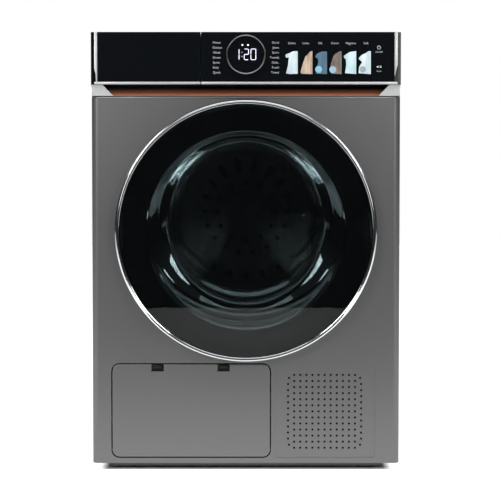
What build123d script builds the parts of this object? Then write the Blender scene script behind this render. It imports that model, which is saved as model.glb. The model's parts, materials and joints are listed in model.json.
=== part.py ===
from build123d import *
import math
import os

# Free-standing clothes dryer. Millimetres, +Z up, the front faces -Y,
# origin on the floor under the middle of the cabinet.

# ---- overall sizes ----
width = 595.0
depth = 640.0
height = 845.0
door_proud = 36.0        # the door stands this far in front of the front panel
duct_proud = 24.0        # the rear duct cover stands this far behind the rear panel
skirt_z = 13.5           # lower edge of the outer panels
sheet = 1.0              # pressed steel sheet
seam = 0.4               # gap between cover pieces that meet
fold = 16.0              # depth of the folded edges of the outer panels
edge_r = 12.0            # rounding of the cabinet's front upright edges
lap = 15.0               # width of the inner flanges that screws go through

half_width = width / 2
front_y = -depth / 2
face_y = front_y + door_proud
rear_y = depth / 2 - duct_proud
inner_x = half_width - sheet

# ---- control panel, water drawer front and the finger recess under them ----
panel_height = 95.0      # glossy fascia
panel_proud = 8.0        # fascia in front of the front panel
fascia = 5.0             # fascia thickness
carrier_depth = 23.5     # plastic carrier behind the fascia
carrier_wall = 2.5
drawer_width = 210.5     # water drawer, measured from the left side
split = 1.2              # gap between drawer and panel
trim_height = 5.0        # bright strip under the fascia
trim_proud = 1.0
end_strip = 6.0          # bright strip near each end of the panel
end_cap = 6.5            # dark cap outside that strip
recess_height = 24.5
recess_depth = 32.0
recess_wall = 3.0
bracket_top = 21.5       # silver corner bracket, width at its top
bracket_bottom = 42.5    # and at its foot
bracket_thickness = 3.5
dial_below_top = 43.4    # dial centre under the top face
dial_r = 38.0
dial_wall = 3.0
dial_proud = 6.0
running = 0.3            # gap beside a turning or sliding part

panel_y = face_y - panel_proud
carrier_y = panel_y + fascia
carrier_back = carrier_y + carrier_depth
panel_z = height - panel_height
trim_z = panel_z - trim_height
front_top = trim_z - recess_height
split_x = -half_width + drawer_width
dial_z = height - dial_below_top
strip_x = half_width - end_cap

# ---- door ----
door_z = 464.0           # height of the door's centre
door_r = 252.0
ring_wall = 9.7          # bright ring around the glass
ring_seat = 2.1          # step that the glass rests on
door_gap = 3.5           # between the closed door and the front panel
ring_taper = 8.0         # the ring's back edge is drawn in
ring_round = 6.0         # and its front edge is rounded
glass = 3.2
glass_rise = 4.5         # the outer glass bulges this much
glass_depth = 8.7        # from the front of the ring to the back of the glass edge
opening_in = 37.0        # front panel opening inside the ring's outer edge
opening_lip = 8.0
mouth_in = 20.0          # mouth of the drum inside that opening
bowl_taper = 40.0        # the bowl's inner end is this much smaller than its rim
bowl_lift = 25.0         # the bowl's inner end sits higher than its rim
bowl_depth = 112.0
bowl_wall = 4.5
bowl_round = 22.0
frame_overlap = 3.0      # the inner frame reaches over the bowl's rim
flange_in = 4.0          # bowl flange inside the front panel opening
flange = 4.0
gasket_width = 7.5
gasket_depth = 8.0
hinge_in = 14.0          # hinge axis inside the ring's outer edge
hinge_out = 18.0         # hinge axis in front of the front panel
pin_r = 3.0
pin_fit = 0.05
lug_spacing = 60.0
lug = 6.0                # lug thickness
lug_r = 6.0
arm_half = 3.0
notch_half = 45.0        # hinge notch in the back of the door
notch_skin = 9.0         # ring left in front of the notch
grip_half = 42.0         # finger pocket on the left of the door
grip_deep = 16.0
striker_in = 24.0        # latch striker inside the ring's outer edge
striker = 8.0
striker_long = 21.5
catch_gap = 2.6

opening_r = door_r - opening_in
loading_r = opening_r - mouth_in
bowl_r = loading_r
bowl_end_r = bowl_r - bowl_taper
frame_inner_r = bowl_r - frame_overlap
flange_r = opening_r - flange_in
striker_r = door_r - striker_in
ring_back = face_y - door_gap
glass_r = door_r - ring_wall
hinge_x = door_r - hinge_in
hinge_y = face_y - hinge_out
glass_back = front_y + glass_depth
bowl_y = ring_back + 0.5

# ---- drum ----
drum_z = 492.0
drum_r = 280.0
drum_lip = 18.0          # front edge of the drum, turned in
drum_front = face_y + 76.0
drum_back_gap = 43.0     # drum back to the rear panel
bulkhead_y = face_y + 48.0
bulkhead = 1.5
collar_r = 255.0
seal_depth = 8.0
lifter_height = 64.0
lifter_base = 70.0
lifter_top = 24.0
lifter_end = 40.0        # lifters stop short of the drum's ends
shaft_r = 10.0
bearing_r = 40.0
bearing_bore_fit = 0.05
perforation_r = 6.0
roller_r = 30.0
roller_width = 20.0
roller_pin_r = 5.0
roller_angle = 30.0      # from straight below the drum's axis

drum_rear = rear_y - drum_back_gap
roller_reach = drum_r + running + roller_r
roller_x = roller_reach * math.sin(math.radians(roller_angle))
roller_z = drum_z - roller_reach * math.cos(math.radians(roller_angle))

# ---- drive ----
motor_x = 150.0
motor_z = 110.0
motor_r = 58.0
motor_length = 120.0
motor_shaft_r = 6.0
pulley_r = 11.0
belt_width = 10.0
belt = 2.0
belt_y = 15.0            # middle of the belt
idler_r = 20.0
idler_x = 60.0
idler_z = 136.0
idler_pivot_x = 100.0
idler_pivot_z = 66.0
idler_arm_thickness = 4.0
blower_r = 74.0
blower_depth = 48.0
volute_r = 92.0
volute_wall = 3.0

motor_front = belt_y + 35.0
motor_back = motor_front + motor_length
volute_front = motor_back + 36.0
volute_back = volute_front + blower_depth + 2 * volute_wall + 10.0

# ---- base ----
tray_gap = 6.0           # underside of the base tray above the floor
tray_floor = 4.0
tray_inset = 28.5        # the tray is narrower than the cabinet
tray_wall = 4.0
tray_top = 24.0
rim = 4.0
foot_x_inset = 62.5
foot_front_inset = 49.0
foot_rear_inset = 41.0
foot_r = 20.0
foot_pad = 5.7
stud_r = 5.0
stud_fit = 0.08
boss_r = 14.0
boss_top = 46.0

tray_x = half_width - tray_inset
tray_front = face_y + fold
tray_back = rear_y - 6.0
foot_x = half_width - foot_x_inset
foot_front_y = face_y + foot_front_inset
foot_rear_y = rear_y - foot_rear_inset

# ---- service door and intake grille ----
service_left_inset = 38.9
service_width = 305.3
service_z = 25.6
service_height = 180.2
service_corner = 14.0
service_gap = 2.0
service_plate = 5.0
service_axis_up = 13.5   # hinge axis above the door's lower edge
service_axis_in = 6.0    # and behind its face
service_pin_r = 2.5
latch_width = 24.0       # notch in the top edge for each latch
latch_notch = 14.0
latch_spacing = 128.0
latch_travel = 4.0
grille_x = 152.5
grille_z = 113.9
grille_pitch = 11.8
grille_count = 13
grille_hole_r = 2.25
grille_end_pull = 2.0    # end holes of the outer columns sit this much nearer
emboss_width = 199.0
emboss_height = 184.0
emboss_depth = 1.2
emboss_corner = 10.0

service_x0 = -half_width + service_left_inset
service_x1 = service_x0 + service_width
service_top = service_z + service_height
service_mid_x = (service_x0 + service_x1) / 2
service_axis_y = face_y + service_axis_in
service_axis_z = service_z + service_axis_up
latch_mid_x = service_mid_x - 1.0

# ---- worktop, tank and rear ----
worktop = 30.0
worktop_board = 16.0
worktop_wall = 4.0
worktop_front = carrier_back + 1.5
tank_wall = 2.5
tank_side = 12.5         # tank side to the cabinet's side
tank_low = 4.0           # tank floor above the fascia's lower edge
tank_under = 3.0         # tank top under the worktop
tank_length = 444.0
tank_bevel_x = 23.0      # the inner lower edge is cut away above the drum
tank_bevel_z = 12.0
pour_r = 17.0
duct_width = 320.0
duct_z0 = 60.0
duct_z1 = 740.0
duct_corner = 60.0
duct_wall = 1.5
duct_flange = 14.0
screw_r = 1.9
screw_head_r = 4.0
screw_head = 2.2
screw_hole_r = 2.1
screw_count = 5
gland_r = 11.0
gland_bore_r = 4.0
spigot_r = 9.0
spigot_bore_r = 6.5

worktop_z = height - worktop

BACK = (0, 1, 0)


def facing(y):
    """Plane across the depth at y: its x runs right, its y runs up."""
    return Plane(origin=(0, y, 0), x_dir=(1, 0, 0), z_dir=(0, -1, 0))


def spoke(x, z, y, angle):
    """Plane across the depth at y, with its x pointing outwards from (x, z) at an angle."""
    turn = math.radians(angle)
    return Plane(origin=(x, y, z), x_dir=(math.cos(turn), 0, math.sin(turn)), z_dir=(0, -1, 0))


def block(x0, x1, y0, y1, z0, z1, mode=Mode.ADD):
    """A box between its limits, added to or cut from the open part."""
    with Locations(((x0 + x1) / 2, (y0 + y1) / 2, (z0 + z1) / 2)):
        Box(x1 - x0, y1 - y0, z1 - z0, mode=mode)


def disc(x, z, radius, y0, y1, mode=Mode.ADD):
    """A round slab whose axis runs from front to back through (x, z)."""
    with BuildSketch(facing(y0)) as profile:
        with Locations((x, z)):
            Circle(radius)
    extrude(profile.sketch, amount=y1 - y0, dir=BACK, mode=mode)


def round_slab(x0, x1, z0, z1, corner, y0, y1, mode=Mode.ADD):
    """A slab with rounded corners, seen from the front."""
    with BuildSketch(facing(y0)) as profile:
        with Locations(((x0 + x1) / 2, (z0 + z1) / 2)):
            RectangleRounded(x1 - x0, z1 - z0, corner)
    extrude(profile.sketch, amount=y1 - y0, dir=BACK, mode=mode)


def outline_slab(points, y0, y1, mode=Mode.ADD):
    """A slab with a straight-sided outline of (x, z) points."""
    with BuildSketch(facing(y0)) as profile:
        with BuildLine():
            Polyline(*points, close=True)
        make_face()
    extrude(profile.sketch, amount=y1 - y0, dir=BACK, mode=mode)


def turned(points, x, z, mode=Mode.ADD):
    """A body turned about a front-to-back axis from (radius, y) points."""
    with BuildSketch(Plane(origin=(x, 0, z), x_dir=(1, 0, 0), z_dir=(0, 0, 1))) as profile:
        with BuildLine():
            Polyline(*points, close=True)
        make_face()
    revolve(profile.sketch, axis=Axis((x, 0, z), (0, 1, 0)), mode=mode)


os.makedirs("parts", exist_ok=True)
pieces = {}

# ======== cabinet shell ========

screw_rows = [skirt_z + 46 + i * (worktop_z - skirt_z - 80) / (screw_count - 1) for i in range(screw_count)]
screw_x = inner_x - lap / 2
duct_half = duct_width / 2
duct_screw_x = duct_half + duct_flange / 2
duct_screw_rows = [duct_z0 + 100 + i * (duct_z1 - duct_z0 - 200) / 2 for i in range(3)]
screw_places = [(s * screw_x, z) for s in (-1, 1) for z in screw_rows]
duct_screw_places = [(s * duct_screw_x, z) for s in (-1, 1) for z in duct_screw_rows]
side_front = face_y + fold + seam
side_back = rear_y - sheet


def side_panel(side):
    """A pressed side panel with its inner flanges; side is -1 left or +1 right."""
    outer = side * half_width
    inner = side * inner_x
    flange_in = side * (inner_x - lap)
    low_x, high_x = min(outer, inner), max(outer, inner)
    low_f, high_f = min(inner, flange_in), max(inner, flange_in)
    with BuildPart() as panel:
        block(low_x, high_x, side_front, rear_y, skirt_z, worktop_z - seam)
        block(low_f, high_f, side_back - sheet, side_back, skirt_z + 8, worktop_z - seam)
        block(low_f, high_f, carrier_back + 2, side_back, worktop_z - seam - sheet, worktop_z - seam)
        block(low_f, high_f, side_front, side_back, skirt_z, skirt_z + sheet)
        for z in screw_rows:
            disc(side * screw_x, z, screw_hole_r, side_back - 2 * sheet, side_back + sheet, Mode.SUBTRACT)
    return panel


pieces["left_side_panel"] = side_panel(-1)
pieces["right_side_panel"] = side_panel(1)

with BuildPart() as worktop_part:
    block(-half_width, half_width, worktop_front, rear_y, worktop_z, height)
    fillet(worktop_part.edges().filter_by(Axis.Z), 4)
    fillet(worktop_part.faces().sort_by(Axis.Z)[-1].edges(), 3)
    block(-half_width + worktop_wall, half_width - worktop_wall, worktop_front + worktop_wall,
          rear_y - worktop_wall, worktop_z, height - worktop_board, Mode.SUBTRACT)
pieces["worktop"] = worktop_part

with BuildPart() as rear_panel:
    block(-inner_x + seam, inner_x - seam, side_back, rear_y, skirt_z + 8, worktop_z - seam)
    for x, z in screw_places + duct_screw_places:
        disc(x, z, screw_hole_r, side_back - sheet, rear_y + sheet, Mode.SUBTRACT)
    with BuildSketch(facing(side_back)):
        with Locations((0, drum_z)):
            with PolarLocations(bearing_r + 60, 10):
                Circle(26)
        with Locations((0, duct_z0 + 70)):
            RectangleRounded(duct_width * 0.6, 80, 12)
        with Locations((-foot_x, duct_z0 + 10), (foot_x, duct_z0 + 10)):
            Circle(spigot_r + 1)
    extrude(amount=sheet, dir=BACK, mode=Mode.SUBTRACT)
pieces["rear_panel"] = rear_panel

with BuildPart() as rear_duct_cover:
    round_slab(-duct_half, duct_half, duct_z0, duct_z1, duct_corner, rear_y, depth / 2)
    fillet(rear_duct_cover.faces().sort_by(Axis.Y)[-1].edges(), 4)
    round_slab(-duct_half - duct_flange, duct_half + duct_flange, duct_z0 - duct_flange,
               duct_z1 + duct_flange, duct_corner + duct_flange, rear_y, rear_y + duct_wall)
    round_slab(-duct_half + duct_wall, duct_half - duct_wall, duct_z0 + duct_wall,
               duct_z1 - duct_wall, duct_corner - duct_wall, rear_y, depth / 2 - duct_wall, Mode.SUBTRACT)
    for x, z in duct_screw_places:
        disc(x, z, screw_hole_r, rear_y, rear_y + 2 * duct_wall, Mode.SUBTRACT)
pieces["rear_duct_cover"] = rear_duct_cover

with BuildPart() as cabinet_screws:
    for x, z in screw_places:
        disc(x, z, screw_head_r, rear_y, rear_y + screw_head)
        disc(x, z, screw_r, rear_y - 8, rear_y)
    for x, z in duct_screw_places:
        disc(x, z, screw_head_r, rear_y + duct_wall, rear_y + duct_wall + screw_head)
        disc(x, z, screw_r, rear_y - 8, rear_y + duct_wall)
pieces["cabinet_screws"] = cabinet_screws

with BuildPart() as mains_inlet:
    disc(-foot_x, duct_z0 + 10, gland_r + 3, rear_y, rear_y + 3)
    disc(-foot_x, duct_z0 + 10, spigot_r + 0.6, rear_y - 6, rear_y)
    disc(-foot_x, duct_z0 + 10, gland_r, rear_y + 3, rear_y + 14)
    disc(-foot_x, duct_z0 + 10, gland_bore_r, rear_y - 6, rear_y + 14, Mode.SUBTRACT)
pieces["mains_inlet"] = mains_inlet

with BuildPart() as drain_spigot:
    disc(foot_x, duct_z0 + 10, gland_r + 3, rear_y, rear_y + 2)
    disc(foot_x, duct_z0 + 10, spigot_r, rear_y - 14, rear_y + 22)
    disc(foot_x, duct_z0 + 10, spigot_bore_r, rear_y - 14, rear_y + 22, Mode.SUBTRACT)
pieces["drain_spigot"] = drain_spigot

foot_places = {
    "front_left_foot": (-foot_x, foot_front_y),
    "front_right_foot": (foot_x, foot_front_y),
    "rear_left_foot": (-foot_x, foot_rear_y),
    "rear_right_foot": (foot_x, foot_rear_y),
}
lug_x0 = service_x0 - service_gap
lug_x1 = service_x1 + service_gap
lug_width = 4.0

with BuildPart() as base_tray:
    block(-tray_x, tray_x, tray_front, tray_back, tray_gap, tray_top)
    fillet(base_tray.edges().filter_by(Axis.Z), 12)
    block(-tray_x + tray_wall, tray_x - tray_wall, tray_front + tray_wall, tray_back - tray_wall,
          tray_gap + tray_floor, tray_top, Mode.SUBTRACT)
    rim_z = skirt_z + sheet + 0.5
    block(-inner_x + seam, -tray_x + 1, tray_front + 1, tray_back, rim_z, rim_z + rim)
    block(tray_x - 1, inner_x - seam, tray_front + 1, tray_back, rim_z, rim_z + rim)
    for x, y in foot_places.values():
        with Locations((x, y, (tray_gap + boss_top) / 2)):
            Cylinder(boss_r, boss_top - tray_gap)
    for x, y in foot_places.values():
        with Locations((x, y, (tray_gap + boss_top) / 2)):
            Cylinder(stud_r + stud_fit, boss_top - tray_gap, mode=Mode.SUBTRACT)
    for x in (lug_x0 - lug_width, lug_x1):
        block(x, x + lug_width, service_axis_y, tray_front + tray_wall, tray_top - 4, service_axis_z + 4)
        with Locations((x + lug_width / 2, service_axis_y, service_axis_z)):
            Cylinder(4.4, lug_width, rotation=(0, 90, 0))
            Cylinder(service_pin_r + pin_fit, lug_width, rotation=(0, 90, 0), mode=Mode.SUBTRACT)
pieces["base_tray"] = base_tray

for name, (x, y) in foot_places.items():
    with BuildPart() as foot:
        with Locations((x, y, foot_pad / 2)):
            Cylinder(foot_r, foot_pad)
        chamfer(foot.faces().sort_by(Axis.Z)[-1].edges(), 1.5)
        with Locations((x, y, (foot_pad + boss_top) / 2)):
            Cylinder(stud_r, boss_top - foot_pad)
    pieces[name] = foot

# ======== front panel ========

slot_half = lug / 2 + 1
lug_levels = (door_z - lug_spacing / 2, door_z + lug_spacing / 2)

with BuildPart() as front_panel:
    block(-half_width, half_width, face_y, face_y + fold, skirt_z, front_top)
    front_edges = front_panel.edges().filter_by(Axis.Z).group_by(Axis.Y)[0]
    fillet(front_edges, edge_r)
    round_slab(-half_width + sheet, half_width - sheet, skirt_z + sheet, front_top - sheet, 0.5,
               face_y + edge_r, face_y + fold, Mode.SUBTRACT)
    round_slab(-half_width + edge_r, half_width - edge_r, skirt_z + sheet, front_top - sheet, 0.5,
               face_y + sheet, face_y + edge_r, Mode.SUBTRACT)
    disc(0, door_z, opening_r + sheet, face_y, face_y + opening_lip)
    disc(0, door_z, opening_r, face_y, face_y + fold, Mode.SUBTRACT)
    round_slab(service_x0 - service_gap, service_x1 + service_gap, service_z - service_gap,
               service_top + service_gap, service_corner + service_gap, face_y, face_y + fold, Mode.SUBTRACT)
    for z in lug_levels:
        block(hinge_x - arm_half - 1, hinge_x + arm_half + 1, face_y, face_y + fold,
              z - slot_half, z + slot_half, Mode.SUBTRACT)
    block(-striker_r - striker / 2 - catch_gap, -striker_r + striker / 2 + catch_gap, face_y,
          face_y + fold, door_z - striker / 2 - 3, door_z + striker / 2 + 3, Mode.SUBTRACT)
    emboss = (grille_x - emboss_width / 2, grille_x + emboss_width / 2,
              grille_z - emboss_height / 2, grille_z + emboss_height / 2)
    round_slab(*emboss, emboss_corner, face_y + sheet, face_y + sheet + emboss_depth)
    round_slab(emboss[0] + 2, emboss[1] - 2, emboss[2] + 2, emboss[3] - 2, emboss_corner - 2,
               face_y, face_y + emboss_depth, Mode.SUBTRACT)
    middle = (grille_count - 1) / 2
    with BuildSketch(facing(face_y)):
        with Locations((grille_x, grille_z)):
            with GridLocations(grille_pitch, grille_pitch, grille_count - 2, grille_count):
                Circle(grille_hole_r)
        for side in (-1, 1):
            column_x = grille_x + side * middle * grille_pitch
            for i in range(grille_count - 1):
                row = i - (grille_count - 2) / 2
                pull = grille_end_pull if i in (0, grille_count - 2) else 0
                with Locations((column_x - side * pull, grille_z + row * grille_pitch)):
                    Circle(grille_hole_r)
    extrude(amount=fold, dir=BACK, mode=Mode.SUBTRACT)
pieces["front_panel"] = front_panel

with BuildPart() as hinge_bracket:
    plate_y = face_y + sheet + 0.4
    block(hinge_x - 14, hinge_x + 16, plate_y, plate_y + 3, door_z - 50, door_z + 50)
    for z in lug_levels:
        block(hinge_x - arm_half, hinge_x + arm_half, hinge_y, plate_y, z - lug / 2, z + lug / 2)
        with Locations((hinge_x, hinge_y, z)):
            Cylinder(lug_r, lug)
            Cylinder(pin_r + pin_fit, lug, mode=Mode.SUBTRACT)
pieces["hinge_bracket"] = hinge_bracket

with BuildPart() as door_catch:
    catch_y = face_y + sheet + 0.4
    block(-striker_r - 12, -striker_r + 12, catch_y, catch_y + 20, door_z - 20, door_z + 20)
    block(-striker_r - striker / 2 - catch_gap, -striker_r + striker / 2 + catch_gap, catch_y,
          catch_y + 17, door_z - striker / 2 - 3, door_z + striker / 2 + 3, Mode.SUBTRACT)
pieces["door_catch"] = door_catch

# ======== control panel ========

dial_seat_r = dial_r + running
panel_x0 = split_x + split

with BuildPart() as control_housing:
    block(panel_x0, strip_x, carrier_y, carrier_back, panel_z, height - 3)
    block(panel_x0 + carrier_wall, strip_x - carrier_wall, carrier_y + carrier_wall, carrier_back,
          panel_z + carrier_wall, height - 3 - carrier_wall, Mode.SUBTRACT)
    block(strip_x, half_width, panel_y + 2, face_y + fold, trim_z, height)
    fillet(control_housing.edges().filter_by(Axis.Z).sort_by(Axis.X)[-2:], 2)
pieces["control_housing"] = control_housing

with BuildPart() as control_fascia:
    block(panel_x0, strip_x - end_strip, panel_y, carrier_y, panel_z, height)
    disc(0, dial_z, dial_seat_r, panel_y, carrier_y, Mode.SUBTRACT)
pieces["control_fascia"] = control_fascia

with BuildPart() as display_disc:
    disc(0, dial_z, dial_r - dial_wall - running, panel_y - 1, carrier_y)
pieces["display_disc"] = display_disc

with BuildPart() as program_ring:
    disc(0, dial_z, dial_r, panel_y - dial_proud, carrier_y - running)
    chamfer(program_ring.faces().sort_by(Axis.Y)[0].edges(), 1)
    disc(0, dial_z, dial_r - dial_wall, panel_y - dial_proud, carrier_y, Mode.SUBTRACT)
pieces["program_ring"] = program_ring

with BuildPart() as panel_bezel:
    block(panel_x0, strip_x, panel_y - trim_proud, carrier_y, trim_z, panel_z)
    block(strip_x - end_strip, strip_x, panel_y - trim_proud, carrier_y, panel_z, height)
pieces["panel_bezel"] = panel_bezel

# ======== water drawer ========

tank_x0 = -half_width + tank_side
tank_x1 = split_x - 10
tank_z0 = panel_z + tank_low
tank_z1 = worktop_z - tank_under
tank_y1 = carrier_back + tank_length
bevel = ((tank_x0, tank_z1), (tank_x1, tank_z1), (tank_x1, tank_z0 + tank_bevel_z),
         (tank_x1 - tank_bevel_x, tank_z0), (tank_x0, tank_z0))
tank_in = ((tank_x0 + tank_wall, tank_z1 - tank_wall), (tank_x1 - tank_wall, tank_z1 - tank_wall),
           (tank_x1 - tank_wall, tank_z0 + tank_bevel_z + tank_wall),
           (tank_x1 - tank_bevel_x - 1, tank_z0 + tank_wall), (tank_x0 + tank_wall, tank_z0 + tank_wall))

with BuildPart() as water_tank:
    outline_slab(bevel, carrier_back, tank_y1)
    outline_slab(tank_in, carrier_back + tank_wall, tank_y1 - tank_wall, Mode.SUBTRACT)
    with Locations(((tank_x0 + tank_x1) / 2, carrier_back + 60, tank_z1)):
        Cylinder(pour_r, 4 * tank_wall, mode=Mode.SUBTRACT)
pieces["water_tank"] = water_tank

with BuildPart() as drawer_front:
    block(-strip_x + end_strip, split_x, panel_y, carrier_y, panel_z, height)
    block(-half_width, -strip_x, panel_y + 2, face_y + fold, trim_z, height)
    fillet(drawer_front.edges().filter_by(Axis.Z).sort_by(Axis.X)[:2], 2)
    block(-strip_x, split_x, carrier_y, carrier_back, panel_z, height - 3)
    block(-strip_x + carrier_wall, split_x - carrier_wall, carrier_y, carrier_back,
          panel_z + carrier_wall, height - 3 - carrier_wall, Mode.SUBTRACT)
pieces["drawer_front"] = drawer_front

with BuildPart() as drawer_bezel:
    block(-strip_x, split_x, panel_y - trim_proud, carrier_y, trim_z, panel_z)
    block(-strip_x, -strip_x + end_strip, panel_y - trim_proud, carrier_y, panel_z, height)
pieces["drawer_bezel"] = drawer_bezel

# ======== finger recess ========

lip_y = face_y + 1
deep_y = face_y + recess_depth

with BuildPart() as handle_recess:
    with BuildSketch(Plane.YZ.offset(-half_width + 2)):
        with BuildLine():
            Polyline((lip_y, front_top), (lip_y, front_top + recess_wall),
                     (deep_y - recess_wall, trim_z - 2), (deep_y - recess_wall, panel_z - seam),
                     (deep_y, panel_z - seam), (deep_y, trim_z - 4), (lip_y + 8, front_top), close=True)
        make_face()
    extrude(amount=2 * half_width - 4)
pieces["handle_recess"] = handle_recess

with BuildPart() as recess_brackets:
    for side in (-1, 1):
        outline_slab(((side * half_width, trim_z), (side * (half_width - bracket_top), trim_z),
                      (side * (half_width - bracket_bottom), front_top + recess_wall),
                      (side * (half_width - recess_wall), front_top + recess_wall)),
                     lip_y - bracket_thickness, lip_y)
pieces["recess_brackets"] = recess_brackets

# ======== door ========

notch_front = hinge_y - notch_skin


def cut_door_notches():
    """The hinge notch on the right and the finger pocket on the left of the door's back."""
    block(hinge_x - 13, door_r + 10, notch_front, ring_back + 1,
          door_z - notch_half, door_z + notch_half, Mode.SUBTRACT)
    block(-door_r - 10, -door_r + grip_deep, notch_front, ring_back + 1,
          door_z - grip_half, door_z + grip_half, Mode.SUBTRACT)


def bore_for_hinge_pin():
    """The hinge pin's bore through the door's rim."""
    with Locations((hinge_x, hinge_y, door_z)):
        Cylinder(pin_r, 2 * notch_half + 20, mode=Mode.SUBTRACT)


with BuildPart() as door_ring:
    turned(((glass_r - ring_seat, ring_back), (door_r - ring_taper, ring_back),
            (door_r, ring_back - ring_taper), (door_r, front_y + 2 * ring_round),
            (door_r - ring_round / 3, front_y + ring_round / 2), (door_r - ring_round, front_y),
            (glass_r + 0.3, front_y), (glass_r + 0.3, glass_back), (glass_r - ring_seat, glass_back)),
           0, door_z)
    cut_door_notches()
    bore_for_hinge_pin()
pieces["door_ring"] = door_ring

edge_y = glass_back - glass
dome_r = (glass_r ** 2 + glass_rise ** 2) / (2 * glass_rise)
half_rise = math.sqrt(dome_r ** 2 - glass_r ** 2 / 4) - (dome_r - glass_rise)

with BuildPart() as door_glass:
    with BuildSketch(Plane(origin=(0, 0, door_z), x_dir=(1, 0, 0), z_dir=(0, 0, 1))):
        with BuildLine():
            ThreePointArc((0, edge_y - glass_rise), (glass_r / 2, edge_y - half_rise), (glass_r, edge_y))
            Line((glass_r, edge_y), (glass_r, glass_back))
            ThreePointArc((glass_r, glass_back), (glass_r / 2, glass_back - half_rise),
                          (0, glass_back - glass_rise))
            Line((0, glass_back - glass_rise), (0, edge_y - glass_rise))
        make_face()
    revolve(axis=Axis((0, 0, door_z), (0, 1, 0)))
pieces["door_glass"] = door_glass

frame_r = glass_r - ring_seat
frame_y = glass_back + 0.3

with BuildPart() as door_frame:
    turned(((frame_inner_r, frame_y), (frame_r, frame_y), (frame_r, ring_back),
            (flange_r + 0.5, ring_back), (flange_r + 0.5, bowl_y - flange), (frame_inner_r, bowl_y - flange)),
           0, door_z)
    cut_door_notches()
    bore_for_hinge_pin()
pieces["door_frame"] = door_frame

with BuildPart() as hinge_pin:
    with Locations((hinge_x, hinge_y, door_z)):
        Cylinder(pin_r, 2 * notch_half + 20)
pieces["hinge_pin"] = hinge_pin

with BuildPart() as door_bowl:
    with BuildSketch(facing(bowl_y)):
        with Locations((0, door_z)):
            Circle(bowl_r)
    with BuildSketch(facing(bowl_y + bowl_depth)):
        with Locations((0, door_z + bowl_lift)):
            Circle(bowl_end_r)
    loft()
    fillet(door_bowl.faces().sort_by(Axis.Y)[-1].edges(), bowl_round)
    disc(0, door_z, flange_r, bowl_y - flange, bowl_y)
    with BuildSketch(facing(bowl_y - flange)):
        with Locations((0, door_z)):
            Circle(bowl_r - bowl_wall)
    with BuildSketch(facing(bowl_y + bowl_depth - bowl_wall)):
        with Locations((0, door_z + bowl_lift)):
            Circle(bowl_end_r - bowl_wall - 1.5)
    loft(mode=Mode.SUBTRACT)
pieces["door_bowl"] = door_bowl

with BuildPart() as door_gasket:
    disc(0, door_z, flange_r, bowl_y, bowl_y + gasket_depth)
    chamfer(door_gasket.faces().sort_by(Axis.Y)[-1].edges(), 2)
    disc(0, door_z, flange_r - gasket_width, bowl_y, bowl_y + gasket_depth, Mode.SUBTRACT)
pieces["door_gasket"] = door_gasket

with BuildPart() as door_striker:
    block(-striker_r - striker / 2, -striker_r + striker / 2, ring_back, ring_back + striker_long,
          door_z - striker / 2, door_z + striker / 2)
    fillet(door_striker.edges().filter_by(Axis.Z).group_by(Axis.Y)[-1], 2)
pieces["door_striker"] = door_striker

# ======== service door ========

latch_places = {"left_latch": latch_mid_x - latch_spacing / 2, "right_latch": latch_mid_x + latch_spacing / 2}
latch_gap = 1.0
latch_half = latch_width / 2 - latch_gap
guide_z = service_top - 26.0
guide_wall = 2.0
guide_y = face_y + service_plate
slider = 3.0

with BuildPart() as service_door:
    round_slab(service_x0, service_x1, service_z, service_top, service_corner, face_y, guide_y)
    fillet(service_door.faces().sort_by(Axis.Y)[0].edges(), 1.2)
    for x in latch_places.values():
        block(x - latch_width / 2, x + latch_width / 2, face_y, guide_y,
              service_top - latch_notch, service_top + 1, Mode.SUBTRACT)
        block(x - latch_half - latch_gap - guide_wall, x + latch_half + latch_gap + guide_wall, guide_y,
              guide_y + slider + 2 * running + guide_wall, guide_z, service_top - 1)
        block(x - latch_half - latch_gap, x + latch_half + latch_gap, guide_y - 2,
              guide_y + slider + 2 * running, guide_z + guide_wall, service_top + 1, Mode.SUBTRACT)
        block(x - latch_width / 2 - 1, x + latch_width / 2 + 1, face_y + 2, guide_y,
              guide_z + guide_wall, service_top - latch_notch)
    for x in (service_x0, service_x1 - 9):
        block(x, x + 9, guide_y - 1, service_axis_y + 4, service_axis_z - 5, service_axis_z + 8)
    for x0, x1 in ((lug_x0 - lug_width, service_x0), (service_x1, lug_x1 + lug_width)):
        with Locations(((x0 + x1) / 2, service_axis_y, service_axis_z)):
            Cylinder(service_pin_r, x1 - x0, rotation=(0, 90, 0))
pieces["service_door"] = service_door

for name, x in latch_places.items():
    tab_z = service_top - latch_notch + latch_travel + 1
    with BuildPart() as latch:
        block(x - latch_half, x + latch_half, guide_y + running, guide_y + running + slider,
              guide_z + guide_wall + latch_travel + 1, service_top - 0.2)
        block(x - latch_half + 1, x + latch_half - 1, face_y + 1, guide_y + running, tab_z, service_top - 0.2)
    pieces[name] = latch

# ======== drum and its supports ========

with BuildPart() as drum_shell:
    disc(0, drum_z, drum_r, drum_front, drum_rear)
    disc(0, drum_z, drum_r - drum_lip, drum_front, drum_front + sheet, Mode.SUBTRACT)
    disc(0, drum_z, drum_r - sheet, drum_front + sheet, drum_rear, Mode.SUBTRACT)
pieces["drum_shell"] = drum_shell

with BuildPart() as drum_back:
    disc(0, drum_z, drum_r - sheet, drum_rear - sheet, drum_rear)
    disc(0, drum_z, drum_r - sheet - 30, drum_rear - sheet - 8, drum_rear)
    disc(0, drum_z, drum_r - 2 * sheet - 30, drum_rear - 8, drum_rear, Mode.SUBTRACT)
    disc(0, drum_z, shaft_r + 18, drum_rear - 8, drum_rear + 4)
    disc(0, drum_z, shaft_r, drum_rear + 4, rear_y - 5)
    with BuildSketch(facing(drum_rear - sheet - 8)):
        for ring, count in ((70, 12), (100, 18), (130, 24), (160, 30), (190, 36)):
            with Locations((0, drum_z)):
                with PolarLocations(ring, count):
                    Circle(perforation_r)
    extrude(amount=sheet + 8, dir=BACK, mode=Mode.SUBTRACT)
pieces["drum_back"] = drum_back

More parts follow.
